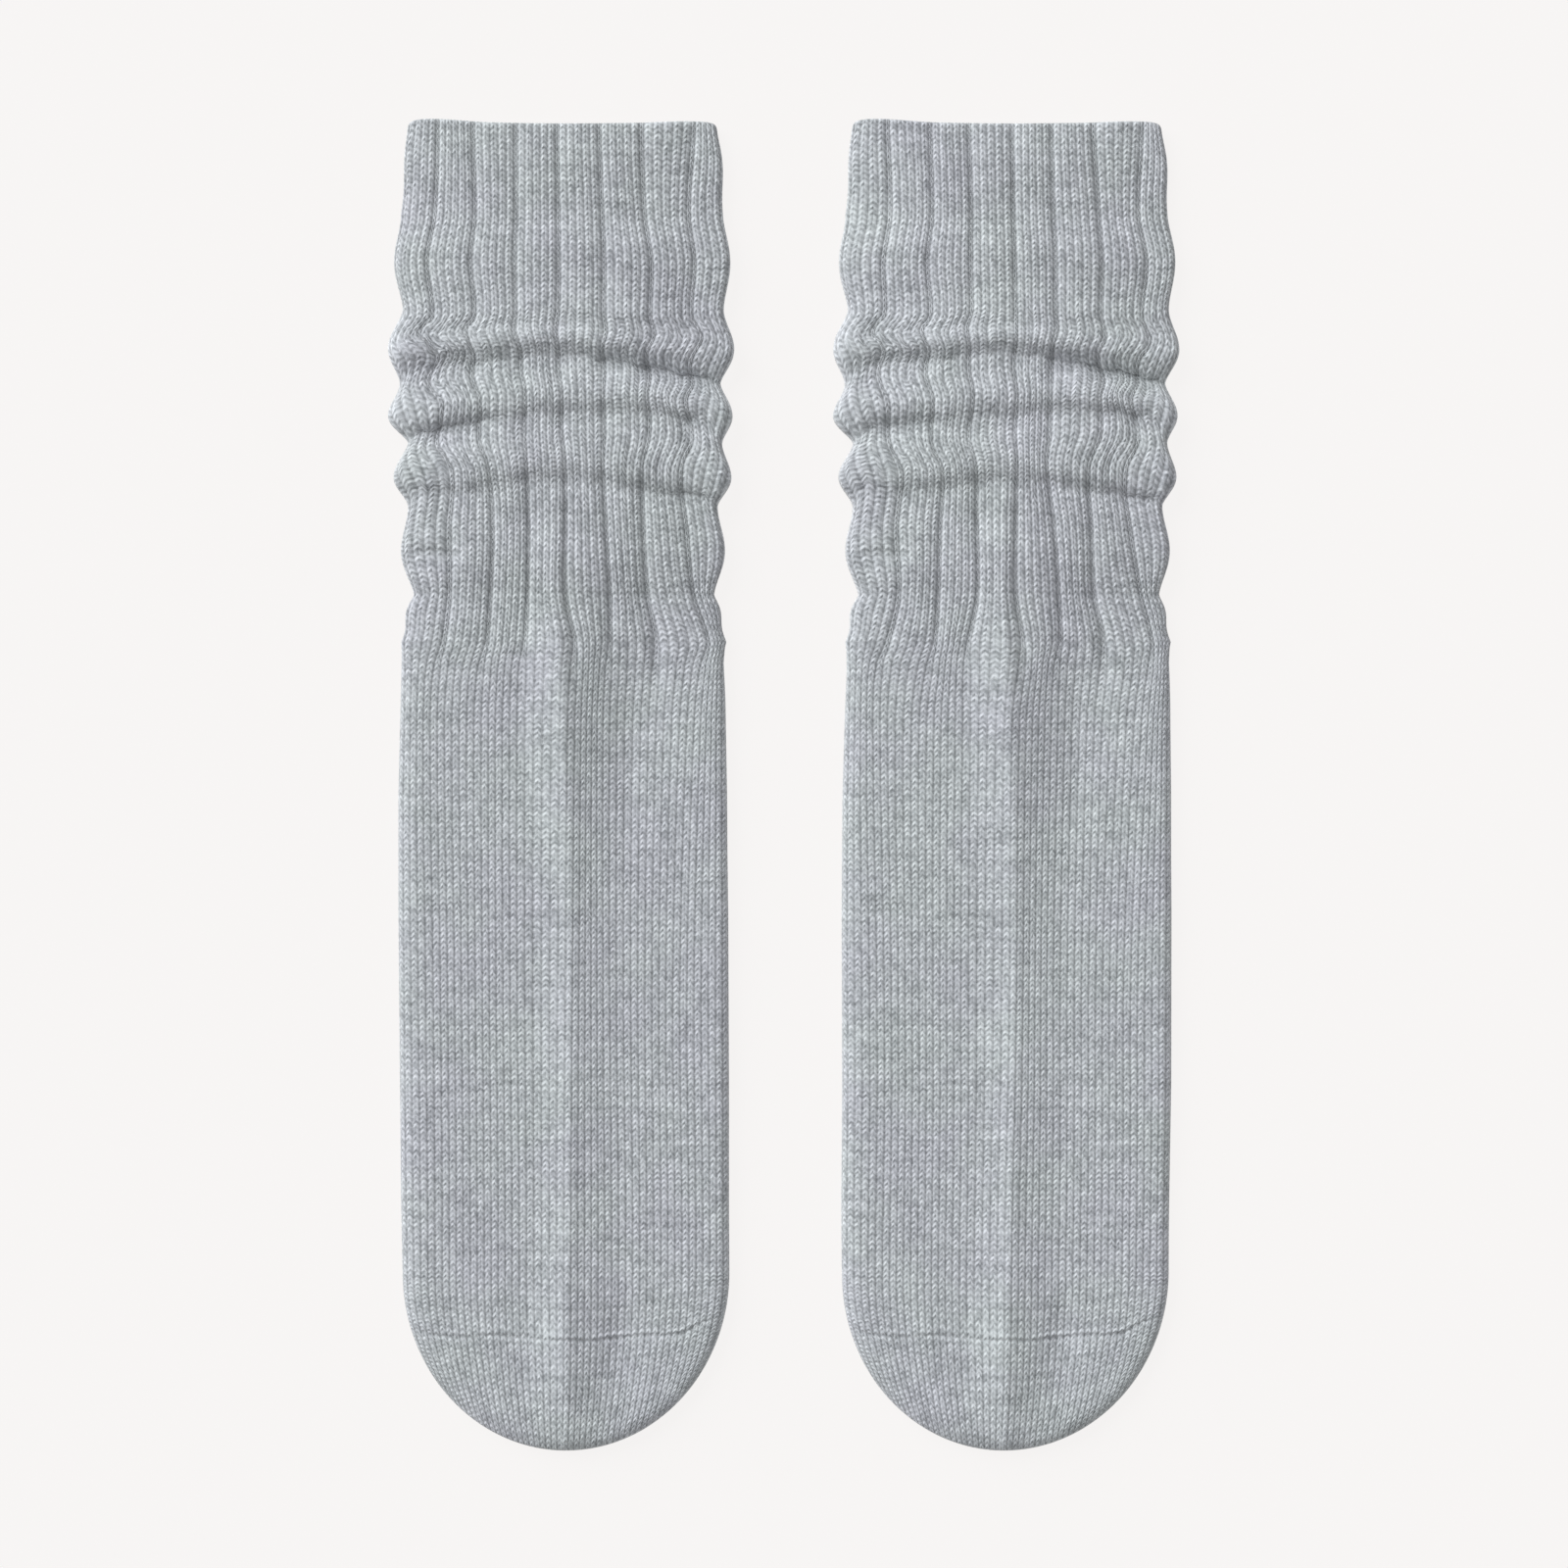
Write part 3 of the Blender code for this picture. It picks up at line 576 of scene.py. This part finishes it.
def cloth(rows, wale, base, relief, grooves, creases, start):
    """The cloth's points, row by row: from the sock's middle line, down from the cuff, and up."""
    keys = ("down", "left", "right", "rib", "back", "square", "gather", "crease", "toe", "inset")
    down, left, right, rib, back, square, gather, crease, toe, inset = (
        np.array([row[key] for row in rows])[:, None] for key in keys
    )
    heights, rises, lip = (np.array([row[key] for row in rows]) for key in ("heights", "rises", "lip"))
    heights = np.concatenate((heights[:, :1], heights, heights[:, -1:]), axis=1)
    rises, lip = (np.pad(values, ((0, 0), (1, 1))) for values in (rises, lip))

    # Where the points lie across, with the grooves of the instep moved to their own places.
    corner_left = heights[:, :1] / 2 - inset
    corner_right = heights[:, -1:] / 2 - inset
    section = (left - inset, right - inset, corner_left, corner_right)
    every_rib = np.arange(0.0, WALES / 2 + 1, WALES_A_RIB)
    drift = groove_drift(crosswise(every_rib[None, :], *section), down, toe, grooves)
    x = crosswise(laid_round(wale, gather), *section)
    x = x + np.where(base, 0, curve(drift, every_rib, np.where(base, 0, wale)))
    x, down = bent_to_toe(x, down, toe, inset)

    # How nearly the cloth has its full height: 0 on the outline and 1 a corner's width inside it.
    toe_half, toe_long = TOE_HALF_WIDTH - inset, TOE_LENGTH - inset
    in_toe = toe_half * (1 - np.hypot((x - TOE_SHIFT) / toe_half, (down - TOE_START) / toe_long))
    inside = np.where(toe > 0, in_toe, np.where(x < 0, left, right) - inset - np.abs(x))
    wide = np.where(base, np.where(x < 0, corner_left, corner_right), np.where(x < 0, *SHOULDER) - inset)
    round_by = np.sqrt(np.clip(1 - np.clip(1 - inside / wide, 0, 1) ** 2, 0, 1))

    # The lines of the troughs rise and waver. At the cuff's edge they round down to the two sides.
    place = np.clip(x / np.where(x < 0, left, right), -1, 1)
    rise = curve(rises, PLACES, place)
    to_corner = np.clip(np.abs(place) - CUFF_CORNER, 0, 1) / (1 - CUFF_CORNER)
    edge_rise = curve(rises, PLACES, np.clip(place, PLACES[1], PLACES[-2]))
    edge_rise = edge_rise * np.sqrt(np.clip(1 - to_corner**2, 0, 1))
    rise = rise + square * (edge_rise - rise) + wavered(x, down, place, start)
    top = curve(heights, PLACES, place) - creased(x, down - rise, creases) + pressed_crease(x, down, crease)

    # The rib's grooves and the valleys between the wales are sunk along the cloth's normal.
    sunk = relief * sunk_by(wale, rib, toe)
    x = x - sunk * np.sqrt(1 - round_by**2) * np.sign(x) * (toe == 0)
    middle = np.where(x < 0, heights[:, :1], heights[:, -1:]) / 2
    under = UNDER_RIB * sunk + creased(x, down, UNDER_CREASES)
    up_top = middle + (top - inset - middle) * round_by - sunk * round_by
    up_base = middle - (middle - inset) * round_by + under * round_by
    down_top = down - rise + curve(lip, PLACES, place) * round_by
    down_base = down - back * round_by
    return np.stack((x, np.where(base, down_base, down_top), np.where(base, up_base, up_top)), axis=-1)


def sock_rows(name):
    """All rows of one sock: the inside from its toe to the cuff, the rounded rim, then the outside."""
    outer = [dict(row, inset=0.0) for row in leg_rows(name) + foot_rows()]
    steps = [*outer[:-1:INNER_STEP], outer[-1]]
    inner = [dict(row, inset=WALL, rib=0.0) for row in reversed(steps)]
    edge = outer[0]
    rim = []
    for turn in np.linspace(0, np.pi, RIM_ROWS + 2)[1:-1]:
        inset = WALL / 2 * (1 + np.cos(turn))
        rib = edge["rib"] * (1 - inset / WALL)
        rim.append(dict(edge, inset=inset, rib=rib, down=edge["down"] - RIM_ROUND * np.sin(turn)))
    return inner, rim, outer


def seam_creases():
    """The toe's seam as creases: each run's groove, and the ridge beside it."""
    grooves = tuple((*run, *SEAM_SLOPES) for run in SEAM)
    ridges = tuple(
        (x0, down0 - RIDGE_UP, x1, down1 - RIDGE_UP, x2, down2 - RIDGE_UP, -RIDGE_SHARE * deep, *RIDGE_SLOPES)
        for x0, down0, x1, down1, x2, down2, deep in SEAM
    )
    return grooves + ridges


def knit_sock(name, middle):
    """One sock as a closed wall of cloth, with a UV map that counts wales across and courses down."""
    inner, rim, outer = sock_rows(name)
    rows = inner + rim + outer
    top = np.linspace(0, WALES / 2, WALES // 2 * TOP_COLUMNS + 1)
    under = np.linspace(WALES / 2, WALES, WALES // 2 * BASE_COLUMNS + 1)[1:]
    wale = np.concatenate((top, under))[None, :]
    base = wale > WALES / 2
    relief = np.concatenate((np.zeros(len(inner)), np.linspace(0, 1, len(rim)), np.ones(len(outer))))[:, None]
    creases = CREASES[name] + seam_creases()
    points = cloth(rows, wale, base, relief, GROOVES[name], creases, WAVER_START[name])
    points[..., 0] += np.interp(points[..., 1], *zip(*SWAY[name], strict=True))

    # Courses are counted along the instep, clear of its two sides, from 0 at the last course of the rib.
    clear = slice(2 * TOP_COLUMNS, len(top) - 2 * TOP_COLUMNS)
    steps = np.linalg.norm(np.diff(points[:, clear], axis=0), axis=2).mean(axis=1)
    course = np.concatenate(([0], np.cumsum(steps))) / COURSE
    course -= course[len(inner) + len(rim) + sum(row["down"] < FOOT_START for row in outer)]
    stitches = np.stack(np.broadcast_arrays(wale, course[:, None]), axis=-1).reshape(-1, 2)
    places = np.stack((middle + points[..., 0], ORIGIN_DOWN - points[..., 1], points[..., 2]), axis=-1)

    bm = bmesh.new()
    bmesh.ops.create_grid(bm, x_segments=wale.size - 1, y_segments=len(rows) - 1, size=1)
    bm.verts.ensure_lookup_table()
    for vertex, place in zip(bm.verts, places.reshape(-1, 3) * MM, strict=True):
        vertex.co = place
    counted = bm.loops.layers.uv.new("knit")
    for face in bm.faces:
        for loop in face.loops:
            loop[counted].uv = stitches[loop.vert.index]
    bmesh.ops.remove_doubles(bm, verts=bm.verts, dist=1e-6)
    open_edges = [edge for edge in bm.edges if edge.is_boundary]
    bmesh.ops.holes_fill(bm, edges=open_edges, sides=3)
    bmesh.ops.recalc_face_normals(bm, faces=bm.faces)
    for face in bm.faces:
        face.smooth = True
    mesh = bpy.data.meshes.new(name + "_knit")
    bm.to_mesh(mesh)
    bm.free()
    sock = bpy.data.objects.new(name + "_knit", mesh)
    bpy.context.scene.collection.objects.link(sock)
    return sock


def linear(colour):
    """An sRGB hex colour as the linear values that a shader takes."""
    values = [int(colour[i : i + 2], 16) / 255 for i in (1, 3, 5)]
    return [v / 12.92 if v <= 0.04045 else ((v + 0.055) / 1.055) ** 2.4 for v in values] + [1.0]


def add_node(tree, kind, inputs=None, **settings):
    """One node with its settings. Each input is a value, or the output that is linked to it."""
    node = tree.nodes.new(kind)
    for key, value in settings.items():
        setattr(node, key, value)
    for key, value in (inputs or {}).items():
        if isinstance(value, bpy.types.NodeSocket):
            tree.links.new(value, node.inputs[key])
        else:
            node.inputs[key].default_value = value
    return node


# Combed cotton yarn, spun from light and dark grey fibres together, in plain stitches. Melange yarn varies
# along its length, so light and dark run sideways over a few stitches. The shader's sheen gives a soft nap,
# and the sock's steep sides get a painted highlight.
DARK_YARN = "#93979A"
LIGHT_YARN = "#DADEE1"
LILAC_CAST = "#F9F9FF"
GREEN_CAST = "#FBFFFF"
# The pale colour of the painted highlight on the sock's steep sides.
SIDE_HIGHLIGHT = "#F4F6F8"

# The stitches' relief, as heights in the leg and in the foot: the bends of each strand, the wale's two
# strands, the fall from its middle to its sides, its middle, and the twist that lifts its left strand.
RELIEF_UNIT = 0.00018  # metres
STRAND_BENDS = (0.36, 0.36)
STRAND_PAIR = (0.74, 0.46)
WALE_FALL = (-1.2, -1.3)
WALE_MIDDLE = (1.28, 1.4)
WALE_TWIST = (0.36, 0.0)
TWIST_PLACE = 0.22  # of the lifted line, in wales left of the middle
STRAND_LEAN = 1.1  # courses that a strand runs down for each wale that it goes across
FIBRE_HEIGHT = 0.35

# How much each source of light and dark counts in the yarn's tone, which goes from TONE_DARK to 1.
TONE_DARK = 0.3
TONE_START = -0.015
BEND_TONE = 0.48
RUN_TONE = 0.45
FIBRE_TONE = 0.5
MOTTLE_TONE = 0.4
TIGHT_TONE = (0.38, 0.12)  # in the leg and in the foot

# Sizes of the patterns: across and down in patches to a wale and to a course, or in patches to a metre.
LEG_TO_FOOT = (-2.0, 4.0)  # courses over which the leg's stitches give way to the foot's
FIBRES = (4.0, 3.0, 1.0)
RUNS = (0.07, 0.85, 1.0)
TIGHT_WALES = (0.85, 0.045, 1.0)
WANDERS = (0.3, 0.13, 1.0)
WANDER = 1.2  # courses
MOTTLES = 190.0  # 5 mm each
CASTS = 38.0  # 26 mm each
CAST_SPAN = (0.36, 0.64)
SHADES = 70.0  # 14 mm each

# Shade and light on the yarn.
STITCH_SHADE = (0.4, 1.8, 0.6)  # heights where it is deepest and gone, and the light left where it is deepest
SUNK_SHADE = (0.25, 0.8, 0.14)  # wales from the sunk wale's middle to its fading and its end, and its share
SHADE_SPREAD = (0.3, 1.5)  # how much less and more of it there is from place to place
SIDE_HIGHLIGHT_SPAN = (0.75, 0.25)  # uprightness of the cloth where the painted highlight on the steep sides starts, and where it is full
SIDE_HIGHLIGHT_SHARE = 0.25


def stitch_height(tree, wale, course, foot):
    """Height of the stitches, each a V of two strands, and how far along its strand each place lies."""
    bends, pair, fall, middle, twist_high = (
        add_node(tree, "ShaderNodeMapRange", {0: foot, 3: in_leg, 4: in_foot}).outputs[0]
        for in_leg, in_foot in (STRAND_BENDS, STRAND_PAIR, WALE_FALL, WALE_MIDDLE, WALE_TWIST)
    )
    off = add_node(tree, "ShaderNodeMath", {0: wale, 1: 0.5}, operation="PINGPONG").outputs[0]
    along = {0: off, 1: -STRAND_LEAN, 2: course}
    along = add_node(tree, "ShaderNodeMath", along, operation="MULTIPLY_ADD").outputs[0]
    bend = add_node(tree, "ShaderNodeMath", {0: along, 1: 0.5}, operation="PINGPONG").outputs[0]
    bend = add_node(tree, "ShaderNodeMath", {0: bend, 1: 2 * math.pi}, operation="MULTIPLY").outputs[0]
    bend = add_node(tree, "ShaderNodeMath", {0: bend}, operation="COSINE").outputs[0]
    strand = add_node(tree, "ShaderNodeMath", {0: off, 1: 2 * math.pi}, operation="MULTIPLY").outputs[0]
    strand = add_node(tree, "ShaderNodeMath", {0: strand}, operation="SINE").outputs[0]
    twist = {0: wale, 1: 2 * math.pi, 2: TWIST_PLACE * 2 * math.pi}
    twist = add_node(tree, "ShaderNodeMath", twist, operation="MULTIPLY_ADD").outputs[0]
    twist = add_node(tree, "ShaderNodeMath", {0: twist}, operation="COSINE").outputs[0]

    height = {0: off, 1: fall, 2: middle}
    height = add_node(tree, "ShaderNodeMath", height, operation="MULTIPLY_ADD").outputs[0]
    for form, high in ((strand, pair), (twist, twist_high), (bend, bends)):
        height = add_node(tree, "ShaderNodeMath", {0: form, 1: high, 2: height}, operation="MULTIPLY_ADD")
        height = height.outputs[0]
    return height, along


def yarn_colour(tree, count, wale, along, fibre, place, foot):
    """The melange: a tone for each bend of a strand, longer runs along the yarn, and faint casts."""
    halves = add_node(tree, "ShaderNodeMath", {0: along, 1: 2.0}, operation="MULTIPLY").outputs[0]
    thirds = add_node(tree, "ShaderNodeMath", {0: wale, 1: 3.0}, operation="MULTIPLY").outputs[0]
    bends = add_node(tree, "ShaderNodeCombineXYZ", {0: thirds, 1: halves}).outputs[0]
    bends = add_node(tree, "ShaderNodeVectorMath", {0: bends}, operation="FLOOR").outputs[0]
    single = add_node(tree, "ShaderNodeTexWhiteNoise", {"Vector": bends}).outputs["Value"]
    runs = add_node(tree, "ShaderNodeVectorMath", {0: count, 1: RUNS}, operation="MULTIPLY").outputs[0]
    runs = {"Vector": runs, "Scale": 1.0, "Detail": 2.0, "Roughness": 0.5}
    run = add_node(tree, "ShaderNodeTexNoise", runs).outputs[0]
    mottle = {"Vector": place, "Scale": MOTTLES, "Detail": 2.0}
    mottle = add_node(tree, "ShaderNodeTexNoise", mottle).outputs[0]
    mottle = add_node(tree, "ShaderNodeMath", {0: mottle, 1: 0.5}, operation="SUBTRACT").outputs[0]

    # Some wales of the rib are drawn tighter and look darker for some way down.
    tight = add_node(tree, "ShaderNodeVectorMath", {0: count, 1: TIGHT_WALES}, operation="MULTIPLY")
    tight = {"Vector": tight.outputs[0], "Scale": 1.0, "Detail": 1.0}
    tight = add_node(tree, "ShaderNodeTexNoise", tight).outputs[0]
    tight = add_node(tree, "ShaderNodeMath", {0: tight, 1: 0.5}, operation="SUBTRACT").outputs[0]
    tight_tone = {0: foot, 3: TIGHT_TONE[0], 4: TIGHT_TONE[1]}
    tight_tone = add_node(tree, "ShaderNodeMapRange", tight_tone).outputs[0]

    tone = TONE_START
    shares = (BEND_TONE, RUN_TONE, FIBRE_TONE, MOTTLE_TONE, tight_tone)
    for source, share in zip((single, run, fibre, mottle, tight), shares, strict=True):
        tone = add_node(tree, "ShaderNodeMath", {0: source, 1: share, 2: tone}, operation="MULTIPLY_ADD")
        tone = tone.outputs[0]
    yarn = add_node(tree, "ShaderNodeValToRGB", {0: tone})
    yarn.color_ramp.elements[0].position = TONE_DARK
    yarn.color_ramp.elements[0].color = linear(DARK_YARN)
    yarn.color_ramp.elements[1].color = linear(LIGHT_YARN)

    # Faint lilac and sea-green casts, where the dye lots of the fibres meet.
    casts = {"Vector": place, "Scale": CASTS, "Detail": 3.0, "Roughness": 0.55}
    cast = add_node(tree, "ShaderNodeTexNoise", casts).outputs[0]
    cast = add_node(tree, "ShaderNodeValToRGB", {0: cast})
    cast.color_ramp.elements[0].position = CAST_SPAN[0]
    cast.color_ramp.elements[0].color = linear(LILAC_CAST)
    cast.color_ramp.elements[1].position = CAST_SPAN[1]
    cast.color_ramp.elements[1].color = linear(GREEN_CAST)
    both = {0: 1.0, 6: yarn.outputs[0], 7: cast.outputs[0]}
    return add_node(tree, "ShaderNodeMix", both, data_type="RGBA", blend_type="MULTIPLY").outputs[2]


def shaded_yarn(tree, colour, height, wale, place, foot):
    """The yarn's colour, with painted shade between the stitches and in the sunk wales, and a painted
    highlight on the steep sides.
    """
    deep, gone, light = STITCH_SHADE
    shade = {0: height, 1: deep, 2: gone, 3: light, 4: 1.0}
    shade = add_node(tree, "ShaderNodeMapRange", shade).outputs[0]
    colour = {0: 1.0, 6: colour, 7: shade}
    colour = add_node(tree, "ShaderNodeMix", colour, data_type="RGBA", blend_type="MULTIPLY").outputs[2]

    # The rib's sunk wale lies in the shade of the wales beside it, here more and there less.
    sunk = add_node(tree, "ShaderNodeMath", {0: wale, 1: WALES_A_RIB / 2}, operation="PINGPONG").outputs[0]
    fading, gone, share = SUNK_SHADE
    sunk = add_node(tree, "ShaderNodeMapRange", {0: sunk, 1: fading, 2: gone, 3: share, 4: 0.0}).outputs[0]
    uneven = {"Vector": place, "Scale": SHADES, "Detail": 1.0}
    uneven = add_node(tree, "ShaderNodeTexNoise", uneven).outputs[0]
    less, more = SHADE_SPREAD
    uneven = {0: uneven, 1: 0.35, 2: 0.65, 3: less, 4: more}
    uneven = add_node(tree, "ShaderNodeMapRange", uneven).outputs[0]
    in_leg = add_node(tree, "ShaderNodeMath", {0: 1.0, 1: foot}, operation="SUBTRACT").outputs[0]
    for part in (uneven, in_leg):
        sunk = add_node(tree, "ShaderNodeMath", {0: sunk, 1: part}, operation="MULTIPLY").outputs[0]
    colour = {0: sunk, 6: colour, 7: (0.0, 0.0, 0.0, 1.0)}
    colour = add_node(tree, "ShaderNodeMix", colour, data_type="RGBA").outputs[2]

    # Painted highlight: where the cloth stands steep along the sock's sides, its colour is mixed towards a
    # pale grey.
    face = add_node(tree, "ShaderNodeNewGeometry").outputs["Normal"]
    upright = add_node(tree, "ShaderNodeSeparateXYZ", {0: face}).outputs["Z"]
    side_highlight = {0: upright, 1: SIDE_HIGHLIGHT_SPAN[0], 2: SIDE_HIGHLIGHT_SPAN[1], 3: 0.0, 4: SIDE_HIGHLIGHT_SHARE}
    side_highlight = add_node(tree, "ShaderNodeMapRange", side_highlight).outputs[0]
    colour = {0: side_highlight, 6: colour, 7: linear(SIDE_HIGHLIGHT)}
    return add_node(tree, "ShaderNodeMix", colour, data_type="RGBA").outputs[2]


def melange_cotton():
    """The knit's material. It counts wales and courses on the UV map, so a stitch has its real size."""
    material = bpy.data.materials.new("melange_cotton_knit")
    material.use_nodes = True
    tree = material.node_tree
    tree.nodes.clear()
    place = add_node(tree, "ShaderNodeTexCoord").outputs["Object"]
    count = add_node(tree, "ShaderNodeUVMap", uv_map="knit").outputs["UV"]
    split = add_node(tree, "ShaderNodeSeparateXYZ", {0: count})
    wale, course = split.outputs["X"], split.outputs["Y"]

    # The courses don't run quite straight: each wanders by up to half a stitch.
    wander = add_node(tree, "ShaderNodeVectorMath", {0: count, 1: WANDERS}, operation="MULTIPLY").outputs[0]
    wander = add_node(tree, "ShaderNodeTexNoise", {"Vector": wander, "Scale": 1.0, "Detail": 1.0}).outputs[0]
    course = {0: wander, 1: WANDER, 2: course}
    course = add_node(tree, "ShaderNodeMath", course, operation="MULTIPLY_ADD").outputs[0]

    # The rib ends at course 0.
    foot = {0: course, 1: LEG_TO_FOOT[0], 2: LEG_TO_FOOT[1]}
    foot = add_node(tree, "ShaderNodeMapRange", foot).outputs[0]
    height, along = stitch_height(tree, wale, course, foot)
    fibres = add_node(tree, "ShaderNodeVectorMath", {0: count, 1: FIBRES}, operation="MULTIPLY").outputs[0]
    fibres = {"Vector": fibres, "Scale": 1.0, "Detail": 3.0, "Roughness": 0.7}
    fibre = add_node(tree, "ShaderNodeTexNoise", fibres).outputs[0]
    colour = yarn_colour(tree, count, wale, along, fibre, place, foot)
    colour = shaded_yarn(tree, colour, height, wale, place, foot)

    relief = {0: fibre, 1: FIBRE_HEIGHT, 2: height}
    relief = add_node(tree, "ShaderNodeMath", relief, operation="MULTIPLY_ADD").outputs[0]
    bump = add_node(tree, "ShaderNodeBump", {"Strength": 1.0, "Distance": RELIEF_UNIT, "Height": relief})
    shader = add_node(
        tree,
        "ShaderNodeBsdfPrincipled",
        {
            "Base Color": colour,
            "Roughness": 0.93,
            "Specular IOR Level": 0.25,
            "Sheen Weight": 0.22,
            "Sheen Roughness": 0.55,
            "Normal": bump.outputs[0],
        },
    )
    add_node(tree, "ShaderNodeOutputMaterial", {"Surface": shader.outputs[0]})
    return material


knit = melange_cotton()
for node, middle in (("sock_left", -SPACING / 2), ("sock_right", SPACING / 2)):
    sock = knit_sock(node, middle)
    sock.data.materials.append(knit)
    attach(sock, "root")
    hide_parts(node)

# ----------------------------------------------------------------------------------------------------------
# The studio: a pale lit table under the socks, a large soft light from the upper left, and an even room.
# ----------------------------------------------------------------------------------------------------------

TABLE_HALF = 6.0
TABLE_DOWN = 0.0002  # so that the cloth's underside doesn't lie in the paper
BACKDROP = "#F7F5F4"
CAMERA_HEIGHT = 1.2

bm = bmesh.new()
bmesh.ops.create_grid(bm, x_segments=1, y_segments=1, size=TABLE_HALF)
bmesh.ops.translate(bm, verts=bm.verts, vec=(0, 0, -TABLE_DOWN))
mesh = bpy.data.meshes.new("table")
bm.to_mesh(mesh)
bm.free()
table = bpy.data.objects.new("table", mesh)
bpy.context.scene.collection.objects.link(table)
paper = bpy.data.materials.new("matt_white_paper")
paper.use_nodes = True
tree = paper.node_tree
tree.nodes.clear()
matt = add_node(
    tree,
    "ShaderNodeBsdfPrincipled",
    {
        "Base Color": linear("#404040"),
        "Roughness": 1.0,
        "Specular IOR Level": 0.0,
        "Emission Color": linear(BACKDROP),
        "Emission Strength": 0.948,
    },
)
add_node(tree, "ShaderNodeOutputMaterial", {"Surface": matt.outputs[0]})
table.data.materials.append(paper)

sun = bpy.data.lights.new("softbox", "SUN")
sun.angle = math.radians(50)
sun.energy = 3.4
softbox = bpy.data.objects.new("softbox", sun)
softbox.rotation_euler = Vector((-0.62, 0.58, 0.53)).to_track_quat("Z", "Y").to_euler()
bpy.context.scene.collection.objects.link(softbox)

room = bpy.data.worlds.new("room")
room.use_nodes = True
background = room.node_tree.nodes["Background"]
background.inputs["Color"].default_value = linear(BACKDROP)
background.inputs["Strength"].default_value = 0.42
bpy.context.scene.world = room

lens = bpy.data.cameras.new("camera")
lens.lens = 106.0
lens.sensor_width = 36.0
camera = bpy.data.objects.new("camera", lens)
camera.location = (0.00025, 0.0001, CAMERA_HEIGHT)
bpy.context.scene.collection.objects.link(camera)
bpy.context.scene.camera = camera
bpy.context.scene.view_settings.view_transform = "Standard"
